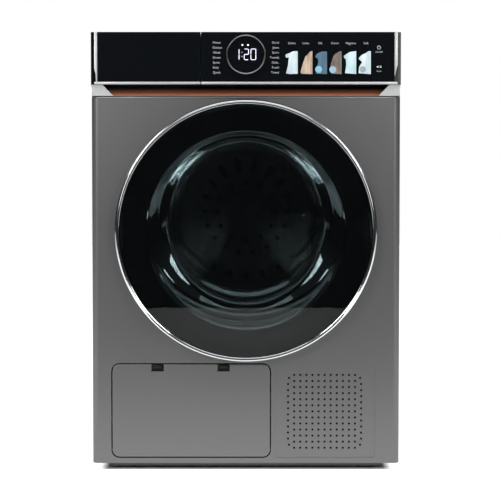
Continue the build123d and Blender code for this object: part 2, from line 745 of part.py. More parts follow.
for i, angle in enumerate((90, 210, 330)):
    with BuildPart() as lifter:
        with BuildSketch(spoke(0, drum_z, drum_front + lifter_end, angle)):
            with BuildLine():
                Polyline((drum_r - lifter_height, -lifter_top / 2), (drum_r - sheet - 4, -lifter_base / 2),
                         (drum_r - sheet - 4, lifter_base / 2), (drum_r - lifter_height, lifter_top / 2),
                         close=True)
            make_face()
        extrude(amount=drum_rear - drum_front - 2 * lifter_end, dir=BACK)
        drum_middle = (0, (drum_front + drum_rear) / 2, drum_z)
        fillet(lifter.edges().filter_by(Axis.Y).sort_by_distance(drum_middle)[:2], 9)
    pieces[f"lifter_{i + 1}"] = lifter

with BuildPart() as drum_bearing:
    disc(0, drum_z, bearing_r, side_back - 5, side_back)
    disc(0, drum_z, shaft_r + 12, drum_rear + 10, side_back - 5)
    disc(0, drum_z, shaft_r + bearing_bore_fit, drum_rear + 10, side_back, Mode.SUBTRACT)
pieces["drum_bearing"] = drum_bearing

roller_places = {"left_roller": -roller_x, "right_roller": roller_x}
roller_y = drum_front + 8
tank_clear = 4.0
bulkhead_low = service_top - 12
filter_half = 100.0

with BuildPart() as front_bulkhead:
    outline_slab(((-inner_x + lap + 1, bulkhead_low), (inner_x - lap - 1, bulkhead_low),
                  (inner_x - lap - 1, worktop_z - 8), (tank_x1 + tank_clear, worktop_z - 8),
                  (tank_x1 + tank_clear, tank_z0 + tank_bevel_z - tank_clear),
                  (tank_x1 - tank_bevel_x, tank_z0 - tank_clear),
                  (-inner_x + lap + 1, tank_z0 - tank_clear)), bulkhead_y, bulkhead_y + bulkhead)
    disc(0, drum_z, collar_r, bulkhead_y, drum_front + sheet + seal_depth)
    disc(0, drum_z, collar_r - 2, bulkhead_y + bulkhead, drum_front + sheet + seal_depth, Mode.SUBTRACT)
    disc(0, door_z, loading_r + 2, bulkhead_y - 36, bulkhead_y + bulkhead)
    disc(0, door_z, loading_r, bulkhead_y - 36, bulkhead_y + bulkhead, Mode.SUBTRACT)
    block(-filter_half - 2, filter_half + 2, bulkhead_y - 40, bulkhead_y - 5, bulkhead_low,
          door_z - loading_r + 42, Mode.SUBTRACT)
    for x in roller_places.values():
        disc(x, roller_z, roller_pin_r, bulkhead_y, roller_y + roller_width + 3)
        disc(x, roller_z, roller_pin_r + 5, bulkhead_y, roller_y - 1)
pieces["front_bulkhead"] = front_bulkhead

with BuildPart() as drum_front_seal:
    disc(0, drum_z, drum_r - drum_lip - running, drum_front - 2, drum_front + sheet + 4)
    disc(0, drum_z, collar_r, drum_front - 2, drum_front + sheet + 4, Mode.SUBTRACT)
pieces["drum_front_seal"] = drum_front_seal

for name, x in roller_places.items():
    with BuildPart() as roller:
        disc(x, roller_z, roller_r, roller_y, roller_y + roller_width)
        chamfer(roller.edges(), 2)
        disc(x, roller_z, roller_r - 8, roller_y, roller_y + 3, Mode.SUBTRACT)
        disc(x, roller_z, roller_pin_r + 5, roller_y, roller_y + 3)
        disc(x, roller_z, roller_pin_r + pin_fit, roller_y, roller_y + roller_width, Mode.SUBTRACT)
    pieces[name] = roller

with BuildPart() as lint_filter:
    filter_y0 = bulkhead_y - 33
    filter_y1 = bulkhead_y - 7
    filter_z0 = service_top + 8
    block(-filter_half, filter_half, filter_y0, filter_y1, filter_z0, door_z - loading_r + 34)
    block(-filter_half + 3, filter_half - 3, filter_y0 + 2, filter_y1 - 2, filter_z0 + 2,
          door_z, Mode.SUBTRACT)
    disc(0, door_z, loading_r, filter_y0, filter_y1, Mode.SUBTRACT)
    with BuildSketch(facing(filter_y1 - 3)):
        with Locations((0, filter_z0 + 28)):
            with GridLocations(44, 0, 4, 1):
                RectangleRounded(36, 38, 3)
    extrude(amount=4, dir=BACK, mode=Mode.SUBTRACT)
pieces["lint_filter"] = lint_filter

# ======== drive ========

floor_z = tray_gap + tray_floor
belt_front = belt_y - belt_width / 2
belt_back = belt_y + belt_width / 2
arm_y = belt_back + 4

with BuildPart() as motor_housing:
    disc(motor_x, motor_z, motor_r, motor_front, motor_back)
    chamfer(motor_housing.edges(), 6)
    disc(motor_x, motor_z, 22, motor_front - 6, motor_back + 6)
    for y in (motor_front + 10, motor_back - 30):
        block(motor_x - 44, motor_x + 44, y, y + 20, floor_z, motor_z - 20)
    block(idler_pivot_x - 9, motor_x, motor_front - 6, motor_front, idler_pivot_z - 9, idler_pivot_z + 30)
    block(idler_pivot_x - 9, motor_x, motor_front - 6, motor_front + 30,
          idler_pivot_z + 12, idler_pivot_z + 22)
    disc(idler_pivot_x, idler_pivot_z, 4, arm_y - 3, motor_front)
    disc(motor_x, motor_z, motor_shaft_r + 0.1, motor_front - 6, motor_back + 6, Mode.SUBTRACT)
pieces["motor_housing"] = motor_housing

with BuildPart() as motor_shaft:
    disc(motor_x, motor_z, motor_shaft_r, belt_front - 8, volute_back - volute_wall - 6)
    disc(motor_x, motor_z, pulley_r, belt_front - 2, belt_back + 2)
    for y in (belt_front - 3.5, belt_back + 2):
        disc(motor_x, motor_z, pulley_r + belt + 2, y, y + 1.5)
pieces["motor_shaft"] = motor_shaft

with BuildPart() as blower_housing:
    outline_slab(((motor_x - 150, motor_z + 30), (motor_x, motor_z + 30), (motor_x, motor_z + volute_r),
                  (motor_x - 150, motor_z + volute_r)), volute_front, volute_back)
    disc(motor_x, motor_z, volute_r, volute_front, volute_back)
    disc(motor_x, motor_z, volute_r - volute_wall, volute_front + volute_wall,
         volute_back - volute_wall, Mode.SUBTRACT)
    block(motor_x - 151, motor_x, volute_front + volute_wall, volute_back - volute_wall,
          motor_z + 30 + volute_wall, motor_z + volute_r - volute_wall, Mode.SUBTRACT)
    disc(motor_x, motor_z, 46, volute_front, volute_front + volute_wall, Mode.SUBTRACT)
pieces["blower_housing"] = blower_housing

wheel_y0 = volute_front + volute_wall + 5
wheel_y1 = wheel_y0 + blower_depth

with BuildPart() as blower_wheel:
    disc(motor_x, motor_z, blower_r, wheel_y1 - 2, wheel_y1)
    disc(motor_x, motor_z, blower_r, wheel_y0, wheel_y0 + 2)
    disc(motor_x, motor_z, blower_r - 14, wheel_y0, wheel_y0 + 2, Mode.SUBTRACT)
    with BuildSketch(facing(wheel_y0)):
        with Locations((motor_x, motor_z)):
            with PolarLocations(blower_r - 7, 24):
                Rectangle(13, 1.6, rotation=25)
    extrude(amount=blower_depth, dir=BACK)
    disc(motor_x, motor_z, motor_shaft_r + 6, wheel_y0 + 16, wheel_y1)
    disc(motor_x, motor_z, motor_shaft_r, wheel_y0, wheel_y1, Mode.SUBTRACT)
pieces["blower_wheel"] = blower_wheel


def belt_outline(extra):
    """The taut loop around the drum, the motor pulley and the idler, grown by extra."""
    for x, z, r in ((0, drum_z, drum_r), (motor_x, motor_z, pulley_r), (idler_x, idler_z, idler_r)):
        with Locations((x, z)):
            Circle(r + extra)
    make_hull()


with BuildPart() as drive_belt:
    with BuildSketch(facing(belt_front)):
        belt_outline(running + belt)
    extrude(amount=belt_width, dir=BACK)
    with BuildSketch(facing(belt_front)):
        belt_outline(running)
    extrude(amount=belt_width, dir=BACK, mode=Mode.SUBTRACT)
pieces["drive_belt"] = drive_belt

with BuildPart() as idler_wheel:
    disc(idler_x, idler_z, idler_r, belt_front - 1, belt_back + 1)
    chamfer(idler_wheel.edges(), 0.8)
    disc(idler_x, idler_z, 4 + pin_fit, belt_front - 1, belt_back + 1, Mode.SUBTRACT)
pieces["idler_wheel"] = idler_wheel

with BuildPart() as idler_arm:
    with BuildSketch(facing(arm_y)):
        with Locations((idler_x, idler_z)):
            Circle(11)
        with Locations((idler_pivot_x, idler_pivot_z)):
            Circle(11)
        make_hull()
    extrude(amount=idler_arm_thickness, dir=BACK)
    disc(idler_x, idler_z, 4, belt_front - 4, arm_y)
    disc(idler_x, idler_z, 7, belt_back + 1.5, arm_y)
    disc(idler_pivot_x, idler_pivot_z, 4 + pin_fit, arm_y, arm_y + idler_arm_thickness, Mode.SUBTRACT)
pieces["idler_arm"] = idler_arm

# ======== heat pump ========

coil_x0 = -foot_x + 20
coil_x1 = lug_x1 - 30
coil_z0 = floor_z
coil_z1 = service_top - 22
fin_pitch = 9.0
tube_r = 4.0


def finned_coil(y0, y1):
    """A block of upright fins on tubes that run from side to side."""
    with BuildPart() as coil:
        count = int((coil_x1 - coil_x0) / fin_pitch)
        step = (coil_x1 - coil_x0 - 1.2) / count
        for i in range(count + 1):
            x = coil_x0 + i * step
            block(x, x + 1.2, y0, y1, coil_z0, coil_z1)
        for row in range(5):
            z = coil_z0 + 18 + row * (coil_z1 - coil_z0 - 36) / 4
            for y in (y0 + 18, y1 - 18):
                with Locations(((coil_x0 + coil_x1) / 2, y, z)):
                    Cylinder(tube_r, coil_x1 - coil_x0 + 8, rotation=(0, 90, 0))
    return coil


evaporator_y = face_y + 76.0
coil_depth = 72.0
pieces["evaporator"] = finned_coil(evaporator_y, evaporator_y + coil_depth)
pieces["condenser"] = finned_coil(evaporator_y + coil_depth + 24, evaporator_y + 2 * coil_depth + 24)

compressor_x = motor_x + 50.0
compressor_y = face_y + 148.0
compressor_r = 62.0

with BuildPart() as compressor:
    with Locations((compressor_x, compressor_y, floor_z + 8 + 80)):
        Cylinder(compressor_r, 160)
    fillet(compressor.edges(), 24)
    with Locations((compressor_x, compressor_y, floor_z + 4)):
        Box(110, 110, 8)
    with Locations((compressor_x, compressor_y + 20, floor_z + 172)):
        Cylinder(5, 12)
pieces["compressor"] = compressor

fan_r = 66.0
shroud_y0 = face_y + 22.0
shroud_y1 = shroud_y0 + 34.0

with BuildPart() as fan_shroud:
    disc(grille_x, grille_z, fan_r + 8, shroud_y0, shroud_y1)
    disc(grille_x, grille_z, fan_r + 5, shroud_y0, shroud_y1, Mode.SUBTRACT)
    disc(grille_x, grille_z, 20, shroud_y1 - 10, shroud_y1)
    block(grille_x - fan_r - 6, grille_x + fan_r + 6, shroud_y1 - 4, shroud_y1, grille_z - 5, grille_z + 5)
    block(grille_x - 5, grille_x + 5, shroud_y1 - 4, shroud_y1, grille_z - fan_r - 6, grille_z + fan_r + 6)
    for x in (grille_x - 40, grille_x + 28):
        block(x, x + 12, shroud_y0 + 6, shroud_y1 - 6, floor_z, grille_z - fan_r + 7)
    disc(grille_x, grille_z, fan_r + 5, shroud_y0, shroud_y1 - 4.1, Mode.SUBTRACT)
    disc(grille_x, grille_z, 20, shroud_y1 - 10, shroud_y1 - 4)
    disc(grille_x, grille_z, 3, shroud_y0 + 8, shroud_y1)
pieces["fan_shroud"] = fan_shroud

with BuildPart() as cooling_fan:
    disc(grille_x, grille_z, 18, shroud_y0 + 4, shroud_y1 - 11)
    for i in range(5):
        with BuildSketch(spoke(grille_x, grille_z, shroud_y0 + 5, i * 72)):
            with BuildLine():
                Polyline((14, -9), (fan_r - 4, -19), (fan_r - 1, 6), (14, 9), close=True)
            make_face()
        extrude(amount=2.5, dir=BACK)
    disc(grille_x, grille_z, 3 + pin_fit, shroud_y0 + 4, shroud_y1 - 11, Mode.SUBTRACT)
pieces["cooling_fan"] = cooling_fan

# ======== write every piece ========

for name, piece in pieces.items():
    piece.part.label = name
    export_step(piece.part, f"parts/{name}.step")
print(len(pieces), "pieces")
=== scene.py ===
import json
import math

import bpy
import bmesh
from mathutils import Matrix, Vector


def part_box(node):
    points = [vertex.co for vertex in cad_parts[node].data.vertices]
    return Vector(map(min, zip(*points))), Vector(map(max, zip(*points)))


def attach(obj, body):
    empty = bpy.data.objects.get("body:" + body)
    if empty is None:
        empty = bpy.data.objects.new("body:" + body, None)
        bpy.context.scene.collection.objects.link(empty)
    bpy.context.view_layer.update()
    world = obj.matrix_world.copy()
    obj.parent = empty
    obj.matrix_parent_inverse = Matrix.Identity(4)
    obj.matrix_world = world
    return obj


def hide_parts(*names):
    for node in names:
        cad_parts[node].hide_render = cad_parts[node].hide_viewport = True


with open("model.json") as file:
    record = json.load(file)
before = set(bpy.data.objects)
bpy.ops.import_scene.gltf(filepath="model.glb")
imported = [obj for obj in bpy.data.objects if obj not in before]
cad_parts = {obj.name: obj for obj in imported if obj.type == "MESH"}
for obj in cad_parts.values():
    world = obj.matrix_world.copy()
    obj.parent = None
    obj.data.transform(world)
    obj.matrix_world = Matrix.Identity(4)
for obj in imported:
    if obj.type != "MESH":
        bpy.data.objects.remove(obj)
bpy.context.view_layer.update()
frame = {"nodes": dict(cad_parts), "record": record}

MM = 0.001
SEED = 1 * MM               # the plane that is merged into a chain's first vertex
MERGE = 0.01 * MM           # vertices nearer than this are one
SPIN_MERGE = 0.02 * MM      # the same along the seam of a turned piece


# ---- measures taken from the frame ----

def span(node, axis):
    """Lowest and highest value of a node along one axis."""
    low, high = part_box(node)
    return low[axis], high[axis]


def middle(node, axis):
    """Middle of a node along one axis."""
    low, high = span(node, axis)
    return (low + high) / 2


PANEL_FRONT = span("front_panel", 1)[0]
HALF_WIDTH = span("front_panel", 0)[1]
DOOR_Z = middle("door_ring", 2)
DOOR_R = (span("door_ring", 2)[1] - span("door_ring", 2)[0]) / 2
DOOR_FRONT, RING_BACK = span("door_ring", 1)
GLASS_R = (span("door_glass", 2)[1] - span("door_glass", 2)[0]) / 2
FASCIA_FRONT = span("control_fascia", 1)[0]
FASCIA_LOW, FASCIA_TOP = span("control_fascia", 2)
DIAL_Z = middle("program_ring", 2)
DIAL_R = (span("program_ring", 2)[1] - span("program_ring", 2)[0]) / 2


# ---- modelling helpers ----

def select_only(piece):
    """Make one object the only selected and the active one."""
    bpy.ops.object.select_all(action="DESELECT")
    piece.select_set(True)
    bpy.context.view_layer.objects.active = piece


def apply_modifiers(piece):
    """Apply every modifier in order."""
    select_only(piece)
    for modifier in list(piece.modifiers):
        bpy.ops.object.modifier_apply(modifier=modifier.name)


def close_up(piece, smooth=30):
    """Put the place into the mesh, merge doubles, turn faces outwards and smooth the round ones."""
    select_only(piece)
    bpy.ops.object.transform_apply(location=True, rotation=True, scale=True)
    bpy.ops.object.mode_set(mode="EDIT")
    bpy.ops.mesh.select_all(action="SELECT")
    bpy.ops.mesh.remove_doubles(threshold=MERGE)
    bpy.ops.mesh.normals_make_consistent(inside=False)
    bpy.ops.object.mode_set(mode="OBJECT")
    bpy.ops.object.shade_smooth_by_angle(angle=math.radians(smooth))


def join(pieces, name):
    """Join several meshes into one object."""
    bpy.ops.object.select_all(action="DESELECT")
    for piece in pieces:
        piece.select_set(True)
    bpy.context.view_layer.objects.active = pieces[0]
    bpy.ops.object.join()
    pieces[0].name = name
    return pieces[0]


def add_bevel(piece, width, segments=3, angle=40):
    """Round the sharp edges of a piece."""
    bevel = piece.modifiers.new("rounding", "BEVEL")
    bevel.width = width
    bevel.segments = segments
    bevel.limit_method = "ANGLE"
    bevel.angle_limit = math.radians(angle)
    bevel.harden_normals = False
    apply_modifiers(piece)


def start_chain(name, first):
    """One vertex at a place, in edit mode, ready to be drawn out into a chain."""
    bpy.ops.object.select_all(action="DESELECT")
    bpy.ops.mesh.primitive_plane_add(size=SEED, location=first)
    piece = bpy.context.object
    piece.name = name
    bpy.ops.object.transform_apply(location=True, rotation=False, scale=False)
    bpy.ops.object.mode_set(mode="EDIT")
    bpy.ops.mesh.select_all(action="SELECT")
    bpy.ops.mesh.merge(type="CENTER")
    return piece


def draw_out(step):
    """Extrude what is selected by one step."""
    bpy.ops.mesh.extrude_region_move(TRANSFORM_OT_translate={"value": step})


def lathe(name, profile, centre, steps=128, closed=True):
    """Draw a profile of (radius, y) points as a chain, then spin it about the y axis."""
    x, z = centre
    piece = start_chain(name, (x + profile[0][0], profile[0][1], z))
    for (r0, y0), (r1, y1) in zip(profile, profile[1:]):
        draw_out((r1 - r0, y1 - y0, 0))
    bpy.ops.mesh.select_all(action="SELECT")
    if closed:
        bpy.ops.mesh.edge_face_add()
        bpy.ops.mesh.delete(type="ONLY_FACE")
        bpy.ops.mesh.select_all(action="SELECT")
    bpy.ops.mesh.spin(steps=steps, angle=2 * math.pi, center=(x, 0, z), axis=(0, 1, 0))
    bpy.ops.mesh.select_all(action="SELECT")
    bpy.ops.mesh.remove_doubles(threshold=SPIN_MERGE)
    bpy.ops.object.mode_set(mode="OBJECT")
    close_up(piece)
    return piece


def slab(name, x0, x1, y0, y1, z0, z1, corner=0, edge=0, segments=4):
    """A plate with rounded corners seen from the front and softened edges."""
    bpy.ops.object.select_all(action="DESELECT")
    place = ((x0 + x1) / 2, (y0 + y1) / 2, (z0 + z1) / 2)
    bpy.ops.mesh.primitive_cube_add(size=1, location=place)
    piece = bpy.context.object
    piece.name = name
    piece.scale = (x1 - x0, y1 - y0, z1 - z0)
    bpy.ops.object.transform_apply(location=True, rotation=False, scale=True)
    if corner:
        bpy.ops.object.mode_set(mode="EDIT")
        bpy.ops.mesh.select_all(action="DESELECT")
        shape = bmesh.from_edit_mesh(piece.data)
        for line in shape.edges:
            run = line.verts[0].co - line.verts[1].co
            line.select = abs(run.y) > 0.9 * (y1 - y0)
        bmesh.update_edit_mesh(piece.data)
        bpy.ops.mesh.bevel(offset=corner, segments=8, affect="EDGES")
        bpy.ops.object.mode_set(mode="OBJECT")
    if edge:
        add_bevel(piece, edge, segments)
    close_up(piece)
    return piece


def outline(name, points, y0, y1, edge=0):
    """A plate with any outline of (x, z) points, drawn as a chain and given its thickness."""
    piece = start_chain(name, (points[0][0], y0, points[0][1]))
    for (x0, z0), (x1, z1) in zip(points, points[1:]):
        draw_out((x1 - x0, 0, z1 - z0))
    bpy.ops.mesh.select_all(action="SELECT")
    bpy.ops.mesh.edge_face_add()
    draw_out((0, y1 - y0, 0))
    bpy.ops.object.mode_set(mode="OBJECT")
    if edge:
        add_bevel(piece, edge)
    close_up(piece)
    return piece


def mount(piece, body, material):
    """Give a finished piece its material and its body."""
    piece.data.materials.clear()
    piece.data.materials.append(material)
    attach(piece, body)


# ---- materials ----

COAT_ROUGH = 0.05
GLASS_IOR = 1.45
BROAD_GRAIN = 9             # noise scales: slow changes of gloss over a panel,
SMEAR_GRAIN = 6             # over a pane of glass
PRINT_GRAIN = 700           # and within a printed sign
COPPER = ((0.62, 0.22, 0.12), (0.7, 0.27, 0.155))
COPPER_METAL = 0.6
COPPER_ROUGH = (0.36, 0.44)


def blank(name):
    """A new node material with its shader and an object-space coordinate."""
    material = bpy.data.materials.new(name)
    material.use_nodes = True
    nodes = material.node_tree.nodes
    shader = nodes["Principled BSDF"]
    place = nodes.new("ShaderNodeTexCoord")
    return material, nodes, material.node_tree.links, shader, place.outputs["Object"]


def noise(nodes, links, place, scale, detail=4, stretch=(1, 1, 1)):
    """A noise pattern, stretched along an axis where asked."""
    mapping = nodes.new("ShaderNodeMapping")
    mapping.inputs["Scale"].default_value = stretch
    pattern = nodes.new("ShaderNodeTexNoise")
    pattern.inputs["Scale"].default_value = scale
    pattern.inputs["Detail"].default_value = detail
    links.new(place, mapping.inputs["Vector"])
    links.new(mapping.outputs["Vector"], pattern.inputs["Vector"])
    return pattern.outputs["Fac"]


def spread(nodes, links, source, low, high):
    """Map a 0 to 1 pattern onto a range of values."""
    ramp = nodes.new("ShaderNodeMapRange")
    ramp.inputs["To Min"].default_value = low
    ramp.inputs["To Max"].default_value = high
    links.new(source, ramp.inputs["Value"])
    return ramp.outputs["Result"]


def tint(nodes, links, source, dark, light):
    """Colour that wanders between two shades."""
    ramp = nodes.new("ShaderNodeValToRGB")
    ramp.color_ramp.elements[0].position = 0.3
    ramp.color_ramp.elements[1].position = 0.7
    ramp.color_ramp.elements[0].color = (*dark, 1)
    ramp.color_ramp.elements[1].color = (*light, 1)
    links.new(source, ramp.inputs["Fac"])
    return ramp.outputs["Color"]


def fade(nodes, links, source, start, end, low=0.0, high=1.0):
    """Rise smoothly from one value to another between two places."""
    ramp = nodes.new("ShaderNodeMapRange")
    ramp.interpolation_type = "SMOOTHSTEP"
    ramp.inputs["From Min"].default_value = start
    ramp.inputs["From Max"].default_value = end
    ramp.inputs["To Min"].default_value = low
    ramp.inputs["To Max"].default_value = high
    links.new(source, ramp.inputs["Value"])
    return ramp.outputs["Result"]


def maths(nodes, links, operation, *sources):
    """One arithmetic step on one or two sources."""
    step = nodes.new("ShaderNodeMath")
    step.operation = operation
    for slot, source in zip(step.inputs, sources):
        links.new(source, slot)
    return step.outputs["Value"]


def axes(nodes, links, place):
    """The three coordinates of a place."""
    parts = nodes.new("ShaderNodeSeparateXYZ")
    links.new(place, parts.inputs["Vector"])
    return parts.outputs["X"], parts.outputs["Y"], parts.outputs["Z"]


def bump(nodes, links, shader, source, strength, distance):
    """Fine relief from a pattern."""
    relief = nodes.new("ShaderNodeBump")
    relief.inputs["Strength"].default_value = strength
    relief.inputs["Distance"].default_value = distance
    links.new(source, relief.inputs["Height"])
    links.new(relief.outputs["Normal"], shader.inputs["Normal"])


def finish(name, dark, light, metallic, rough, grain=900, relief=0.05, depth=0.0002,
           stretch=(1, 1, 1), coat=0.0, shine=0.5):
    """A solid finish: its colour and roughness wander a little and it has a fine grain."""
    material, nodes, links, shader, place = blank(name)
    shader.inputs["Metallic"].default_value = metallic
    shader.inputs["Specular IOR Level"].default_value = shine
    shader.inputs["Coat Weight"].default_value = coat
    shader.inputs["Coat Roughness"].default_value = COAT_ROUGH
    fine = noise(nodes, links, place, grain, 3, stretch)
    broad = noise(nodes, links, place, BROAD_GRAIN, 2)
    links.new(tint(nodes, links, fine, dark, light), shader.inputs["Base Color"])
    links.new(spread(nodes, links, broad, rough[0], rough[1]), shader.inputs["Roughness"])
    if relief:
        bump(nodes, links, shader, fine, relief, depth)
    return material


def glass_finish(name, colour, rough):
    """Clear or tinted glass."""
    material, nodes, links, shader, place = blank(name)
    shader.inputs["Base Color"].default_value = (*colour, 1)
    shader.inputs["Transmission Weight"].default_value = 1.0
    shader.inputs["IOR"].default_value = GLASS_IOR
    smear = noise(nodes, links, place, SMEAR_GRAIN, 3)
    links.new(spread(nodes, links, smear, rough[0], rough[1]), shader.inputs["Roughness"])
    return material


def glow(name, colour, strength):
    """A printed or lit mark that shines evenly; on a printed mark the shine is a painted glow."""
    material, nodes, links, shader, place = blank(name)
    shader.inputs["Base Color"].default_value = (*colour, 1)
    shader.inputs["Emission Color"].default_value = (*colour, 1)
    shader.inputs["Roughness"].default_value = 0.4
    faint = noise(nodes, links, place, PRINT_GRAIN, 2)
    wander = spread(nodes, links, faint, strength * 0.9, strength * 1.1)
    links.new(wander, shader.inputs["Emission Strength"])
    return material


MATERIALS = {
    "graphite_paint": finish("graphite_paint", (0.102, 0.102, 0.101), (0.117, 0.117, 0.115), 0.85,
                             (0.33, 0.36), 2600, 0.02, 0.00005),
    "black_gloss": finish("black_gloss", (0.0012, 0.0016, 0.0022), (0.0018, 0.0024, 0.0032), 0.0,
                          (0.05, 0.08), 800, 0.0, coat=0.2),
    "dark_plastic": finish("dark_plastic", (0.012, 0.012, 0.013), (0.02, 0.02, 0.021), 0.0,
                           (0.42, 0.55), 1800, 0.2, 0.0001),
    "worktop_grey": finish("worktop_grey", (0.075, 0.076, 0.08), (0.105, 0.106, 0.11), 0.0,
                           (0.6, 0.7), 2200, 0.15, 0.0001),
    "zinc_steel": finish("zinc_steel", (0.25, 0.26, 0.265), (0.3, 0.31, 0.315), 0.85,
                         (0.36, 0.44), 160, 0.02, 0.0001),
    "stainless": finish("stainless", (0.5, 0.5, 0.5), (0.62, 0.62, 0.62), 1.0,
                        (0.22, 0.3), 500, 0.05, 0.0001, (1, 0.02, 1)),
    "bright_chrome": finish("bright_chrome", (0.38, 0.39, 0.4), (0.44, 0.45, 0.46), 1.0,
                            (0.08, 0.14), 500, 0.0),
    "copper_paint": finish("copper_paint", *COPPER, COPPER_METAL,
                           COPPER_ROUGH, 1500, 0.03, 0.00005, (0.05, 1, 1)),
    "dark_glass": glass_finish("dark_glass", (0.15, 0.175, 0.18), (0.0, 0.01)),
    "clear_glass": glass_finish("clear_glass", (0.87, 0.92, 0.92), (0.0, 0.02)),
    "light_plastic": finish("light_plastic", (0.5, 0.51, 0.52), (0.56, 0.57, 0.58), 0.0,
                            (0.35, 0.45), 900, 0.05),
    "rubber": finish("rubber", (0.008, 0.008, 0.008), (0.016, 0.016, 0.016), 0.0,
                     (0.6, 0.75), 900, 0.2),
    "felt": finish("felt", (0.3, 0.28, 0.25), (0.45, 0.42, 0.38), 0.0, (0.9, 1.0), 1400, 0.5, 0.0004),
    "fin_aluminium": finish("fin_aluminium", (0.6, 0.61, 0.62), (0.7, 0.71, 0.72), 1.0,
                            (0.25, 0.35), 400, 0.05),
    "black_enamel": finish("black_enamel", (0.01, 0.01, 0.01), (0.016, 0.016, 0.016), 0.0,
                           (0.2, 0.3), 600, 0.05),
    "spring_steel": finish("spring_steel", (0.5, 0.5, 0.51), (0.6, 0.6, 0.61), 1.0,
                           (0.2, 0.3), 500, 0.02),
}
SATIN_SILVER = finish("satin_silver", (0.29, 0.295, 0.295), (0.34, 0.345, 0.345), 0.35,
                      (0.3, 0.36), 900, 0.02, 0.00005, (1, 1, 0.05))
SMOKED_CHROME = finish("smoked_chrome", (0.11, 0.11, 0.115), (0.15, 0.15, 0.155), 1.0,
                       (0.2, 0.26), 500, 0.0)
LATCH_BLACK = finish("latch_black", (0.004, 0.004, 0.004), (0.007, 0.007, 0.007), 0.0,
                     (0.3, 0.38), 900, 0.05, shine=0.12)
# Near-black painted shade for the sheet behind the intake grille, so its holes look dark.
INTAKE_SHADE_BLACK = finish("intake_painted_shade", (0.002, 0.002, 0.002), (0.003, 0.003, 0.003), 0.0,
                    (0.5, 0.6), 900, 0.05, shine=0.12)

SLOT_OF = {part["node"]: part["material_slot"] for part in frame["record"]["subparts"]}


# Painted shade: towards the recess's top its copper turns to this dark colour, fading in over the
# heights below.
RECESS_PAINTED_SHADE = (0.008, 0.006, 0.006, 1)
RECESS_SHADE_FADE = (2 * MM, 21 * MM)     # above the recess's lower edge


def painted_shade_copper():
    """Copper of the finger recess, with painted shade that darkens it towards its top."""
    low = span("handle_recess", 2)[0]
    material, nodes, links, shader, place = blank("recess_copper_painted_shade")
    shader.inputs["Metallic"].default_value = COPPER_METAL
    grain = noise(nodes, links, place, 1500, 3, (0.05, 1, 1))
    height = axes(nodes, links, place)[2]
    # Painted shade: darker towards the top of the recess, standing in for the shadow under the fascia.
    mix = nodes.new("ShaderNodeMix")
    mix.data_type = "RGBA"
    mix.inputs[7].default_value = RECESS_PAINTED_SHADE
    links.new(fade(nodes, links, height, low + RECESS_SHADE_FADE[0], low + RECESS_SHADE_FADE[1]), mix.inputs[0])
    links.new(tint(nodes, links, grain, *COPPER), mix.inputs[6])
    links.new(mix.outputs[2], shader.inputs["Base Color"])
    links.new(spread(nodes, links, grain, *COPPER_ROUGH), shader.inputs["Roughness"])
    return material


def dress_frame():
    """Give every carried-over node the material of its slot."""
    for node, piece in frame["nodes"].items():
        piece.data.materials.clear()
        piece.data.materials.append(MATERIALS[SLOT_OF[node]])
        select_only(piece)
        bpy.ops.object.shade_smooth_by_angle(angle=math.radians(28))
    # The finger recess gets copper with painted shade towards its top.
    own = {"recess_brackets": SATIN_SILVER, "base_tray": MATERIALS["dark_plastic"],
           "handle_recess": painted_shade_copper()}
    for node, material in own.items():
        frame["nodes"][node].data.materials[0] = material


# ---- door ----

NOTCH_FRONT = DOOR_FRONT + 9 * MM
HINGE_NOTCH = (225 * MM, 45 * MM)   # nearest distance from the middle and half height
GRIP_POCKET = (236 * MM, 42 * MM)
RIM_SEAT = 2.1 * MM
RIM_ROUND = (5 * MM, 12 * MM)       # rounding of the rim, across and in depth
ROUND_STEPS = 8
PAST = 10 * MM                      # how far a cutter reaches past what it cuts
GLASS_BACK = span("door_glass", 1)[1]
GLASS_THICK = 3.2 * MM
GLASS_RISE = 4.5 * MM
GLASS_GRIND = 0.6 * MM
BOWL_WALL = 4.5 * MM
BOWL_RIM = 4 * MM
BOWL_MOUTH = 190.5 * MM
BOWL_BOTTOM = 80 * MM               # past this depth the wall is counted as the bottom
BOWL_LIFT = 30 * MM                 # the bowl's bottom sits this much higher than its rim
BOWL_FLARE = ((195, 4), (193, 8), (189, 16), (184, 28), (179, 42), (175, 56), (171.5, 70),
              (168, 84), (164, 95), (158, 104))     # (radius, depth) of the wall in mm


def cut_box(piece, x0, x1, y0, y1, z0, z1):
    """Cut a box-shaped recess into a piece."""
    cutter = slab("cutter", x0, x1, y0, y1, z0, z1)
    cut = piece.modifiers.new("recess", "BOOLEAN")
    cut.object = cutter
    cut.operation = "DIFFERENCE"
    cut.solver = "EXACT"
    apply_modifiers(piece)
    bpy.data.objects.remove(cutter)


